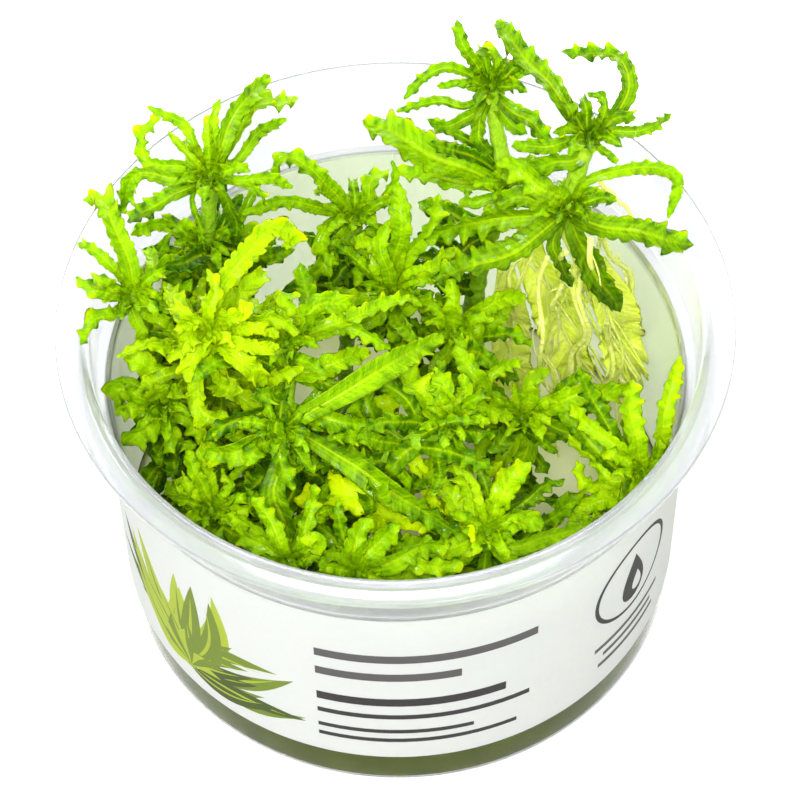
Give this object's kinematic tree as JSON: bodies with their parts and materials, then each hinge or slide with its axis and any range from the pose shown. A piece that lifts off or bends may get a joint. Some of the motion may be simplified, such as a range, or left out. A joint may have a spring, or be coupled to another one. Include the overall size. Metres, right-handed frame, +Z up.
{
  "type": "cup of tissue culture aquarium plants",
  "caption": "Open clear cup with a flanged rim and a paper band, holding nutrient gel and a tangle of bright green, ruffle-leaved aquarium plantlets with pale roots.",
  "frame": {"origin": "on the cup's axis, in the plane of its flat base", "axes": "+Z up along the cup's axis, +X to the right and +Y away from the front of the band"},
  "size_m": [0.101, 0.101, 0.089],
  "materials": {
    "cup": "clear, glossy moulded plastic",
    "label": null,
    "gel": "translucent wet gel",
    "leaf": "wet, softly glossy leaf with a pale midrib",
    "stem": "smooth, moist green stem",
    "root": "pale, moist, slightly translucent root"
  },
  "bodies": {
    "root": {"cup": "cup", "label_band": "label", "gel": "gel", "stem_back_left": "stem", "stem_back_left_low": "stem", "stem_left": "stem", "stem_left_bright": "stem", "stem_centre_top": "stem", "stem_centre": "stem", "stem_back_centre": "stem", "stem_back_centre_right": "stem", "stem_right_back_top": "stem", "stem_back_right": "stem", "stem_right_back": "stem", "stem_back_arm": "stem", "stem_centre_right": "stem", "stem_centre_bud": "stem", "stem_centre_stalk": "stem", "stem_right_low": "stem", "stem_front_right": "stem", "stem_front_left": "stem", "stem_front": "stem", "stem_front_leaf": "stem", "stem_right_front": "stem", "stem_left_front": "stem", "stem_front_left_low": "stem", "whorl_back_left": "leaf", "whorl_right_back_top": "leaf", "whorl_back_right": "leaf", "whorl_right_back": "leaf", "whorl_back_arm": "leaf", "whorl_left_bright": "leaf", "whorl_left": "leaf", "whorl_centre_top": "leaf", "whorl_centre": "leaf", "whorl_back_centre_right": "leaf", "whorl_back_centre": "leaf", "whorl_centre_bud": "leaf", "whorl_centre_stalk": "leaf", "whorl_back_left_low": "leaf", "whorl_centre_right": "leaf", "whorl_right_low": "leaf", "whorl_front_right": "leaf", "whorl_front": "leaf", "whorl_front_left": "leaf", "whorl_front_leaf": "leaf", "whorl_right_front": "leaf", "whorl_left_front": "leaf", "whorl_front_left_low": "leaf", "root_1": "root", "root_2": "root", "root_3": "root", "root_4": "root", "root_5": "root", "root_6": "root"}
  },
  "joints": []
}
